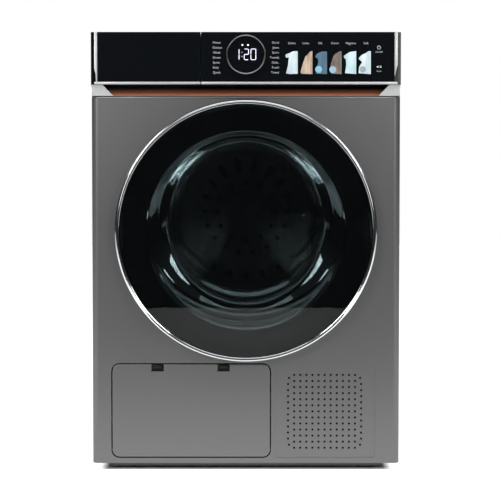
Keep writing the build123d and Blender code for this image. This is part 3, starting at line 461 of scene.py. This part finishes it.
def make_door_rim():
    """Bright door ring: rounded rim, dark-bottomed groove and a fine inner bead."""
    r, front, back = DOOR_R, DOOR_FRONT, RING_BACK
    across, deep = RIM_ROUND
    rim = [(r - 8 * MM, back), (r, back - 8 * MM), (r, front + deep)]
    for i in range(1, ROUND_STEPS + 1):
        turn = math.pi / 2 * i / ROUND_STEPS
        rim.append((r - across + across * math.cos(turn), front + deep - deep * math.sin(turn)))
    groove = ((6.2, 0.5), (6.6, 5), (8, 5), (8.2, 2.2), (8.6, 1.8), (9.1, 2.2))
    rim += [(r - inset * MM, front + y * MM) for inset, y in groove]
    rim += [(GLASS_R + 0.2 * MM, front + 5 * MM), (GLASS_R + 0.2 * MM, GLASS_BACK),
            (GLASS_R - RIM_SEAT, GLASS_BACK), (GLASS_R - RIM_SEAT, back)]
    ring = lathe("door_rim", rim, (0, DOOR_Z), 180)
    cut_box(ring, HINGE_NOTCH[0], r + PAST, NOTCH_FRONT, back + PAST,
            DOOR_Z - HINGE_NOTCH[1], DOOR_Z + HINGE_NOTCH[1])
    cut_box(ring, -r - PAST, -GRIP_POCKET[0], NOTCH_FRONT, back + PAST,
            DOOR_Z - GRIP_POCKET[1], DOOR_Z + GRIP_POCKET[1])
    close_up(ring)
    mount(ring, "door", MATERIALS["bright_chrome"])
    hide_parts("door_ring")


def dome(radius, edge_y, rise, count):
    """Points of a shallow dome from its crown to its edge."""
    ball = (radius ** 2 + rise ** 2) / (2 * rise)
    points = []
    for i in range(count + 1):
        r = radius * i / count
        points.append((r, edge_y - (math.sqrt(ball ** 2 - r ** 2) - (ball - rise))))
    return points


def make_outer_glass():
    """Bulged outer glass with a ground edge."""
    edge_y = span("door_glass", 1)[0] + GLASS_RISE
    face = dome(GLASS_R - GLASS_GRIND, edge_y, GLASS_RISE, 10)
    rear = [(r, y + GLASS_THICK) for r, y in reversed(face)]
    edge = [(GLASS_R, edge_y + GLASS_GRIND), (GLASS_R, edge_y + GLASS_THICK - 0.2 * MM)]
    pane = lathe("outer_glass", face + edge + rear, (0, DOOR_Z), 160, closed=False)
    mount(pane, "door", MATERIALS["dark_glass"])
    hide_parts("door_glass")


def make_bowl():
    """Pressed glass bowl: flat rim, flared walls and a round bottom set higher than the rim."""
    low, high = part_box("door_bowl")
    rim_y, deep_y = low[1], high[1]
    rim_r = (high[0] - low[0]) / 2
    outer = [(rim_r, rim_y), (rim_r, rim_y + BOWL_RIM)]
    outer += [(r * MM, rim_y + y * MM) for r, y in BOWL_FLARE]
    outer += [(148 * MM, deep_y - 4 * MM), (130 * MM, deep_y - 1 * MM), (90 * MM, deep_y), (0, deep_y)]
    bottom_y = rim_y + BOWL_BOTTOM
    inner = [(max(r - BOWL_WALL, 0), y - (BOWL_WALL if y > bottom_y else 0))
             for r, y in reversed(outer[3:])]
    inner += [(BOWL_MOUTH, rim_y)]
    bowl = lathe("glass_bowl", outer + inner, (0, DOOR_Z), 160, closed=False)
    for point in bowl.data.vertices:
        share = (point.co.y - rim_y - BOWL_RIM) / (deep_y - rim_y - BOWL_RIM)
        point.co.z += BOWL_LIFT * min(max(share, 0), 1)
    close_up(bowl, 45)
    mount(bowl, "door", MATERIALS["clear_glass"])
    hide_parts("door_bowl")


make_door_rim()
make_outer_glass()
make_bowl()


# ---- control panel ----

PRINT_DEEP = 0.2 * MM       # half the thickness of a printed or lit mark
PRINT_THIN = 0.014          # share of its size by which a letter's strokes are thinned
# Printed words and signs shine with a faint painted glow, though they are no lamp.
PRINT_PAINTED_GLOW = glow("white_print_painted_glow", (0.4, 0.41, 0.43), 0.08)
DISPLAY_LIGHT = glow("display_light", (0.80, 0.78, 1.0), 0.62)
KEY_X = 255 * MM            # middle of the touch keys


def words(text, x, z, size, align="LEFT"):
    """A printed word that stands a hair proud of the fascia."""
    bpy.ops.object.select_all(action="DESELECT")
    bpy.ops.object.text_add(location=(0, 0, 0))
    label = bpy.context.object
    label.data.body = text
    label.data.size = size
    label.data.align_x = align
    label.data.align_y = "CENTER"
    label.data.extrude = PRINT_DEEP
    label.data.offset = -PRINT_THIN * size
    label.data.resolution_u = 3
    bpy.ops.object.convert(target="MESH")
    label.rotation_euler = (math.pi / 2, 0, 0)
    label.location = (x, FASCIA_FRONT, z)
    bpy.ops.object.transform_apply(location=True, rotation=True, scale=True)
    return label


def plate(x0, x1, z0, z1, face, thick=PRINT_DEEP, corner=0):
    """A thin printed patch on a front face."""
    return slab("patch", x0, x1, face - thick, face + thick, z0, z1, corner)


SEGMENTS = {
    "0": "abcdef",
    "1": "bc",
    "2": "abged",
}
BAR = 0.95 * MM             # width of a lit bar
BAR_GAP = 0.12              # share of that width left free at each end
DIGIT_HIGH = 20.5 * MM
DIGITS = (("1", -17.4 * MM, 8.5 * MM), ("2", 0.9 * MM, 8.4 * MM), ("0", 14.3 * MM, 9.4 * MM))
COLON_X = -7.5 * MM
SIGNS_X = (-6.7 * MM, 4.2 * MM)
SIGNS_UP = 18.3 * MM


def digit(sign, x, z, width, face):
    """One seven-segment digit, centred on (x, z)."""
    w, h, end = width / 2, DIGIT_HIGH / 2, BAR / 2 + BAR * BAR_GAP
    flat = {"a": h, "g": 0, "d": -h}
    upright = {"b": (w, h / 2), "c": (w, -h / 2), "e": (-w, -h / 2), "f": (-w, h / 2)}
    bars = []
    for name in SEGMENTS[sign]:
        if name in flat:
            mid = z + flat[name]
            bars.append(plate(x - w + end, x + w - end, mid - BAR / 2, mid + BAR / 2, face))
        else:
            side, mid = upright[name]
            bars.append(plate(x + side - BAR / 2, x + side + BAR / 2,
                              z + mid - h / 2 + end, z + mid + h / 2 - end, face))
    return bars


def make_display():
    """Remaining time and two small signs behind the display disc."""
    face = span("display_disc", 1)[0]
    mid = DIAL_Z + 0.5 * MM
    bars = []
    for sign, x, wide in DIGITS:
        bars += digit(sign, x, mid, wide, face)
    dot = 0.6 * MM
    for z in (mid + 4 * MM, mid - 4 * MM):
        bars.append(plate(COLON_X - dot, COLON_X + dot, z - dot, z + dot, face))
    wide, high = 1.4 * MM, 1.3 * MM
    for x in SIGNS_X:
        bars.append(plate(x - wide, x + wide, DIAL_Z + SIGNS_UP - high, DIAL_Z + SIGNS_UP + high,
                          face, corner=0.8 * MM))
    time_left = join(bars, "display_digits")
    close_up(time_left)
    mount(time_left, "cabinet", DISPLAY_LIGHT)


PROGRAMS_LEFT = ("Mixed", "Cotton", "Wool", "Duvet", "Synth.", "Baby", "Quick")
PROGRAMS_RIGHT = ("Shirts", "Jeans", "Sport", "Towels", "Delic.", "Fresh", "Timed")
PROGRAM_X = 63.5 * MM       # outer end of both columns, from the middle
PROGRAM_PITCH = 9.5 * MM
# Each heading and its distance from the middle in mm.
HEADINGS = (("Coats", 88), ("Linen", 115), ("Silk", 143), ("Down", 171), ("Hygiene", 201),
            ("Soft", 230))
WORD_SIZE = 6 * MM
KEY_WORD_SIZE = 4.6 * MM


def make_program_words():
    """Two columns of programme names, headings over the garment pictures and the touch-key labels."""
    top = FASCIA_TOP - 20.5 * MM
    labels = []
    for i, (one, other) in enumerate(zip(PROGRAMS_LEFT, PROGRAMS_RIGHT)):
        labels.append(words(one, -PROGRAM_X, top - i * PROGRAM_PITCH, WORD_SIZE))
        labels.append(words(other, PROGRAM_X, top - i * PROGRAM_PITCH, WORD_SIZE, "RIGHT"))
    for text, x in HEADINGS:
        labels.append(words(text, x * MM, top - 1 * MM, WORD_SIZE, "CENTER"))
    labels.append(words("On/Off", KEY_X, FASCIA_TOP - 38.5 * MM, KEY_WORD_SIZE, "CENTER"))
    labels.append(words("Start", KEY_X, FASCIA_TOP - 75 * MM, KEY_WORD_SIZE, "CENTER"))
    sheet = join(labels, "programme_words")
    close_up(sheet)
    mount(sheet, "cabinet", PRINT_PAINTED_GLOW)


def make_touch_keys():
    """Power sign, an open ring with a stroke, and the start sign, a triangle with two bars."""
    face = FASCIA_FRONT
    x, z = KEY_X, FASCIA_TOP - 29.7 * MM
    inner, outer = 2.9 * MM, 3.5 * MM
    front, back = face - PRINT_DEEP, face + PRINT_DEEP
    ring = lathe("ring", [(inner, back), (outer, back), (outer, front), (inner, front)], (x, z), 32)
    cut_box(ring, x - 1.2 * MM, x + 1.2 * MM, face - PAST, face + PAST, z + 1 * MM, z + 5 * MM)
    marks = [ring, plate(x - 0.3 * MM, x + 0.3 * MM, z + 0.6 * MM, z + 4.2 * MM, face)]
    low = FASCIA_TOP - 66.5 * MM
    bpy.ops.object.select_all(action="DESELECT")
    bpy.ops.mesh.primitive_cylinder_add(vertices=3, radius=2.6 * MM, depth=2 * PRINT_DEEP,
                                        location=(x - 2.4 * MM, face, low), rotation=(math.pi / 2, 0, 0))
    play = bpy.context.object
    bpy.ops.transform.rotate(value=math.pi / 2, orient_axis="Y", center_override=play.location)
    bpy.ops.object.transform_apply(location=True, rotation=True, scale=True)
    marks.append(play)
    wide, high = 0.9 * MM, 2.2 * MM
    for bar_x in (x + 1.6 * MM, x + 3.4 * MM):
        marks.append(plate(bar_x, bar_x + wide, low - high, low + high, face))
    keys = join(marks, "touch_keys")
    close_up(keys)
    mount(keys, "cabinet", PRINT_PAINTED_GLOW)


def cloth_print(name, dark, light, lines):
    """A printed garment: soft upright folds between two shades, with a faint painted glow."""
    material, nodes, links, shader, place = blank(name)
    shader.inputs["Roughness"].default_value = 0.5
    folds = noise(nodes, links, place, lines, 3, (1, 1, 0.22))
    colour = tint(nodes, links, folds, dark, light)
    links.new(colour, shader.inputs["Base Color"])
    links.new(colour, shader.inputs["Emission Color"])
    shader.inputs["Emission Strength"].default_value = CLOTH_PAINTED_GLOW
    return material


# Painted glow of the printed garment pictures and badges, which are no lamp.
CLOTH_PAINTED_GLOW = 0.12
GARMENT_LOW = 80.5 * MM     # below the fascia's top
GARMENT_TOP = 36.5 * MM
GARMENT_WIDE = 23.8 * MM
GARMENT_PITCH = 28 * MM
GARMENT_START = 87.5 * MM
# Half outlines: shares of the width from the left and of the height from the hem.
GARMENTS = {
    "coat": ((1, 1), (0.55, 0.98), (0.38, 0.92), (0.05, 0.86), (0, 0.78), (0.1, 0.7), (0.28, 0.74),
             (0.22, 0.4), (0.06, 0.03), (0.4, 0), (1, 0.02)),
    "robe": ((1, 1), (0.8, 0.97), (0.6, 0.84), (0.42, 0.76), (0.26, 0.5), (0.04, 0.08), (0.12, 0.02),
             (1, 0)),
    "blouse": ((1, 0.98), (0.62, 0.98), (0.3, 0.92), (0.12, 0.84), (0.04, 0.74), (0.24, 0.68),
               (0.3, 0.52), (0.14, 0.2), (0.1, 0.02), (1, 0)),
    "jacket": ((1, 1), (0.8, 0.98), (0.5, 0.88), (0.34, 0.78), (0.14, 0.46), (0.08, 0.2), (0.2, 0.02),
               (1, 0)),
    "shirt": ((1, 1), (0.5, 0.96), (0.3, 0.9), (0.02, 0.8), (0, 0.72), (0.16, 0.64), (0.2, 0.4),
              (0.1, 0.04), (1, 0)),
    "tunic": ((1, 1), (0.78, 0.99), (0.56, 0.9), (0.28, 0.84), (0.06, 0.72), (0.02, 0.66), (0.3, 0.52),
              (0.06, 0.32), (0.02, 0.04), (1, 0)),
}


# Each cloth: its darker and lighter shade, and how fine its folds are.
WHITE = ((0.2, 0.27, 0.3), (0.42, 0.47, 0.48), 90)
SAND = ((0.15, 0.1, 0.07), (0.4, 0.31, 0.23), 150)
BLUE = ((0.012, 0.038, 0.07), (0.04, 0.095, 0.14), 100)
BROWN = ((0.025, 0.02, 0.018), (0.12, 0.09, 0.07), 140)
PALE = ((0.2, 0.3, 0.33), (0.38, 0.47, 0.49), 90)
CYAN = (0.12, 0.26, 0.36)
SKY = (0.16, 0.25, 0.32)
ASH = (0.16, 0.19, 0.21)
# Each picture: its outline, its cloth, whether its front hangs open, and its badge's shade, place
# from the middle of the hem, and radius.
PICTURES = (("coat", WHITE, False, None),
            ("robe", SAND, False, None),
            ("blouse", BLUE, False, (CYAN, -4 * MM, 9 * MM, 6.6 * MM)),
            ("jacket", BROWN, True, (SKY, -5 * MM, 8.5 * MM, 6.6 * MM)),
            ("shirt", PALE, False, None),
            ("tunic", WHITE, False, (ASH, -3.5 * MM, 9 * MM, 6 * MM)))


def garment(kind, x, shades, open_front, badge):
    """Half of a hanging garment in outline, with an optional front edge and round badge."""
    name = kind + "_picture"
    face = FASCIA_FRONT
    top, low = FASCIA_TOP - GARMENT_TOP, FASCIA_TOP - GARMENT_LOW
    left = x - GARMENT_WIDE / 2
    shape = [(left + u * GARMENT_WIDE, low + v * (top - low)) for u, v in GARMENTS[kind]]
    parts = [outline(name, shape, face - PRINT_DEEP, face + PRINT_DEEP)]
    if open_front:
        parts.append(plate(x + GARMENT_WIDE * 0.12, x + GARMENT_WIDE * 0.16, low + 1 * MM,
                           top - 9 * MM, face, 1.6 * PRINT_DEEP))
    cloth = join(parts, name)
    close_up(cloth)
    mount(cloth, "cabinet", cloth_print(name + "_print", *shades))
    if badge:
        shade, off_x, off_z, radius = badge
        front = face - 2 * PRINT_DEEP
        disc = lathe(name + "_badge", [(0, front), (radius, front), (radius, face), (0, face)],
                     (x + off_x, low + off_z), 40, closed=False)
        mount(disc, "cabinet", cloth_print(name + "_badge_print", shade, shade, 300))


def make_garments():
    """Six garment pictures in a row on the right of the fascia."""
    for i, (kind, shades, open_front, badge) in enumerate(PICTURES):
        garment(kind, GARMENT_START + i * GARMENT_PITCH, shades, open_front, badge)


TRIM_HIGH = 5 * MM
TRIM_WIDE = 6 * MM          # upright strips at both ends
DIAL_WALL = 3 * MM


def bezel(name, left, right, strip, body, node):
    """Silver trim bar under the fascia with the tapering strip at its outer end."""
    front, back = span(node, 1)
    bar = slab(name, left, right, front, back, FASCIA_LOW - TRIM_HIGH, FASCIA_LOW, edge=1.7 * MM)
    wedge = outline(name + "_strip", strip, front + 0.3 * MM, back, edge=0.7 * MM)
    whole = join([bar, wedge], name)
    close_up(whole)
    mount(whole, body, SATIN_SILVER)
    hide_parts(node)


def make_bezels():
    """Trim of the drawer front on the left and of the control panel on the right."""
    left, split = span("drawer_bezel", 0)
    low, top = FASCIA_LOW - 1 * MM, FASCIA_TOP
    strip = [(left, top), (left + TRIM_WIDE, top), (left + TRIM_WIDE, low), (left + 3.4 * MM, low),
             (left + 2.6 * MM, low + 16 * MM), (left, low + 26 * MM)]
    bezel("drawer_trim", left, split, strip, "water_drawer", "drawer_bezel")
    start, right = span("panel_bezel", 0)
    strip = [(right - TRIM_WIDE, top), (right, top), (right, low + 34 * MM),
             (right - 5.4 * MM, low + 12 * MM), (right - TRIM_WIDE, low + 13 * MM)]
    bezel("panel_trim", start, right, strip, "cabinet", "panel_bezel")


def make_dial():
    """Slim silver program ring with a rounded crown."""
    front, back = span("program_ring", 1)
    r, inner, shoulder = DIAL_R, DIAL_R - DIAL_WALL, front + 1.4 * MM
    profile = [(inner, back), (r, back), (r, shoulder), (r - 0.5 * MM, front + 0.4 * MM),
               (r - DIAL_WALL / 2, front), (inner + 0.4 * MM, front + 0.5 * MM), (inner, shoulder)]
    ring = lathe("dial_ring", profile, (0, DIAL_Z), 128)
    mount(ring, "dial", SMOKED_CHROME)
    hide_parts("program_ring")


make_display()
make_program_words()
make_touch_keys()
make_garments()
make_dial()
make_bezels()


# ---- cabinet front ----

PANEL_TOP = span("front_panel", 2)[1]
GRILLE_X = 152.5 * MM
GRILLE_Z = 113.9 * MM
# Half size of the dark sheet of painted shade behind the grille.
SHADE_SHEET_HALF = 84 * MM


def make_top_bead():
    """Rounded upper edge of the front panel and a dark rubber strip between it and the recess, painted
    shade standing in for the shadow in that gap.
    """
    half = HALF_WIDTH - 11 * MM
    bead = slab("front_top_bead", -half, half, PANEL_FRONT - 0.5 * MM, PANEL_FRONT + 0.9 * MM,
                PANEL_TOP - 2.5 * MM, PANEL_TOP + 1 * MM, edge=0.65 * MM)
    mount(bead, "cabinet", MATERIALS["graphite_paint"])
    # Painted shade: a dark strip where the gap above the panel's edge only lies in shadow.
    half = HALF_WIDTH - 1.5 * MM
    shadow_strip = slab("recess_shadow_strip", -half, half, PANEL_FRONT + 0.2 * MM, PANEL_FRONT + 0.95 * MM,
                PANEL_TOP + 0.1 * MM, PANEL_TOP + 3.4 * MM, edge=0.3 * MM)
    mount(shadow_strip, "cabinet", MATERIALS["rubber"])


def make_intake_shade_sheet():
    """Dark sheet right behind the punched intake grille, painted shade that makes its holes look dark.
    """
    mesh = slab("intake_shade_sheet", GRILLE_X - SHADE_SHEET_HALF, GRILLE_X + SHADE_SHEET_HALF,
                PANEL_FRONT + 3 * MM, PANEL_FRONT + 3.6 * MM,
                GRILLE_Z - SHADE_SHEET_HALF, GRILLE_Z + SHADE_SHEET_HALF, corner=8 * MM, edge=0.15 * MM)
    mount(mesh, "cabinet", INTAKE_SHADE_BLACK)


def make_latch(node, body):
    """Service-door latch: half-round thumb tab on a dark slide."""
    (x0, y0, low), (x1, y1, top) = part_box(node)
    slide = slab(node + "_slide", x0 + 0.3 * MM, x1 - 0.3 * MM, y1 - 3 * MM, y1, low + 0.2 * MM,
                 top - 0.2 * MM, corner=1 * MM, edge=0.3 * MM)
    stem = slab("stem", x0 + 4 * MM, x1 - 4 * MM, y0 + 2 * MM, y1 - 2.5 * MM, top - 8 * MM,
                top - 2 * MM)
    tab = slab("tab", x0 + 1.6 * MM, x1 - 1.6 * MM, y0 + 0.1 * MM, y0 + 5 * MM, top - 9 * MM,
               top - 1 * MM, edge=2.2 * MM)
    latch = join([slide, stem, tab], node + "_tab")
    close_up(latch)
    mount(latch, body, LATCH_BLACK)
    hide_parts(node)


make_top_bead()
make_intake_shade_sheet()
make_latch("left_latch", "latch_left")
make_latch("right_latch", "latch_right")


# ---- stage, camera and light ----

FLOOR_FRONT = PANEL_FRONT - 2.75
FLOOR_BACK = 14.0
FLOOR_WIDE = 24
# Where each fade of the floor starts and ends: the painted shade in front of the door and to either
# side, and as half sizes of the painted shadow under the machine.
DIM_Y = (PANEL_FRONT - 1.1, PANEL_FRONT - 0.6)
DIM_X = (0.75, 1.0)
SHADOW_UNDER_X = (0.266, 0.29)
SHADOW_UNDER_Y = (0.268, 0.288)
# Painted shade: the floor colour drops with its glow where it is dim.
FLOOR_PAINTED_SHADE = (0.5, 0.9)        # floor colour where dim and where lit
ROOM_STRENGTH = (0.05, 0.22)    # near the horizon and overhead
ROOM_RISE = (0.12, 0.45)        # upward share of the direction where that change starts and ends


def make_floor():
    """Pale floor that glows, with painted shade where the door glass mirrors it and a painted shadow
    under the machine.
    """
    bpy.ops.object.select_all(action="DESELECT")
    bpy.ops.mesh.primitive_plane_add(size=1, location=(0, (FLOOR_FRONT + FLOOR_BACK) / 2, 0))
    floor = bpy.context.object
    floor.name = "floor"
    floor.scale = (FLOOR_WIDE, FLOOR_BACK - FLOOR_FRONT, 1)
    bpy.ops.object.transform_apply(location=True, rotation=False, scale=True)
    pale, nodes, links, shader, place = blank("floor_glow_painted_shade")
    shader.inputs["Roughness"].default_value = 0.9
    shader.inputs["Emission Color"].default_value = (1, 1, 1, 1)
    x, y = axes(nodes, links, place)[:2]
    across = maths(nodes, links, "ABSOLUTE", x)
    along = maths(nodes, links, "ABSOLUTE", y)
    # Painted shade in front of the door and to either side; painted shadow under the machine.
    lit = maths(nodes, links, "MAXIMUM", fade(nodes, links, y, *DIM_Y),
                fade(nodes, links, across, *DIM_X))
    clear = maths(nodes, links, "MAXIMUM", fade(nodes, links, across, *SHADOW_UNDER_X),
                  fade(nodes, links, along, *SHADOW_UNDER_Y))
    links.new(maths(nodes, links, "MULTIPLY", lit, clear), shader.inputs["Emission Strength"])
    # Painted shade: the floor's colour darkens where its glow is dimmed.
    links.new(fade(nodes, links, lit, 0, 1, *FLOOR_PAINTED_SHADE), shader.inputs["Base Color"])
    floor.data.materials.append(pale)


def make_room():
    """Studio room: white where the camera looks past the machine, dim where the surfaces mirror it."""
    world = bpy.data.worlds.new("studio")
    bpy.context.scene.world = world
    world.use_nodes = True
    nodes = world.node_tree.nodes
    links = world.node_tree.links
    nodes.clear()
    rays = nodes.new("ShaderNodeLightPath")
    seen = nodes.new("ShaderNodeBackground")
    seen.inputs["Color"].default_value = (1, 1, 1, 1)
    seen.inputs["Strength"].default_value = 1.0
    room = nodes.new("ShaderNodeBackground")
    room.inputs["Color"].default_value = (0.9, 0.95, 1, 1)
    facing = nodes.new("ShaderNodeTexCoord")
    rise = axes(nodes, links, facing.outputs["Generated"])[2]
    links.new(fade(nodes, links, rise, *ROOM_RISE, *ROOM_STRENGTH), room.inputs["Strength"])
    blend = nodes.new("ShaderNodeMixShader")
    out = nodes.new("ShaderNodeOutputWorld")
    links.new(rays.outputs["Is Camera Ray"], blend.inputs["Fac"])
    links.new(room.outputs["Background"], blend.inputs[1])
    links.new(seen.outputs["Background"], blend.inputs[2])
    links.new(blend.outputs["Shader"], out.inputs["Surface"])


# Each lamp: its name, place, target, width, height and power in watts.
LAMPS = (("left_box", (-2.3, -1.5, 2.3), (0, 0, 0.5), 0.6, 1.4, 56),
         ("right_box", (2.3, -1.5, 2.3), (0, 0, 0.5), 0.6, 1.4, 56),
         ("top_box", (0, -1.5, 3.0), (0, -0.2, 0.4), 3.0, 1.4, 48),
         ("left_strip", (-1.5, -3.6, 1.6), (-0.1, 0, 0.6), 1.2, 0.45, 46),
         ("right_strip", (1.5, -3.6, 1.6), (0.1, 0, 0.6), 1.2, 0.45, 40))


def soft_box(name, place, target, width, height, power):
    """A rectangular studio lamp turned to a point."""
    lamp = bpy.data.lights.new(name, "AREA")
    lamp.shape = "RECTANGLE"
    lamp.size = width
    lamp.size_y = height
    lamp.energy = power
    holder = bpy.data.objects.new(name, lamp)
    bpy.context.scene.collection.objects.link(holder)
    holder.location = place
    holder.rotation_euler = (Vector(target) - Vector(place)).to_track_quat("-Z", "Y").to_euler()


EYE_AWAY = 3.0
EYE_HEIGHT = 0.528
AIM_HEIGHT = 0.4225
SENSOR = 36.0               # mm
LENS = 111.996              # mm, frames about 0.96 m at the front panel
SIDE_SHIFT = 0.0082
RISE_SHIFT = 0.0045


def set_camera():
    """A long lens in front of the door, tilted slightly down."""
    camera = bpy.data.objects.new("camera", bpy.data.cameras.new("camera"))
    bpy.context.scene.collection.objects.link(camera)
    camera.location = (0, PANEL_FRONT - EYE_AWAY, EYE_HEIGHT)
    aim = Vector((0, PANEL_FRONT, AIM_HEIGHT))
    camera.rotation_euler = (aim - camera.location).to_track_quat("-Z", "Y").to_euler()
    camera.data.sensor_width = SENSOR
    camera.data.lens = LENS
    camera.data.shift_x = SIDE_SHIFT
    camera.data.shift_y = RISE_SHIFT
    bpy.context.scene.camera = camera
    bpy.context.scene.view_settings.view_transform = "Standard"


set_camera()
make_floor()
make_room()
for lamp in LAMPS:
    soft_box(*lamp)
dress_frame()
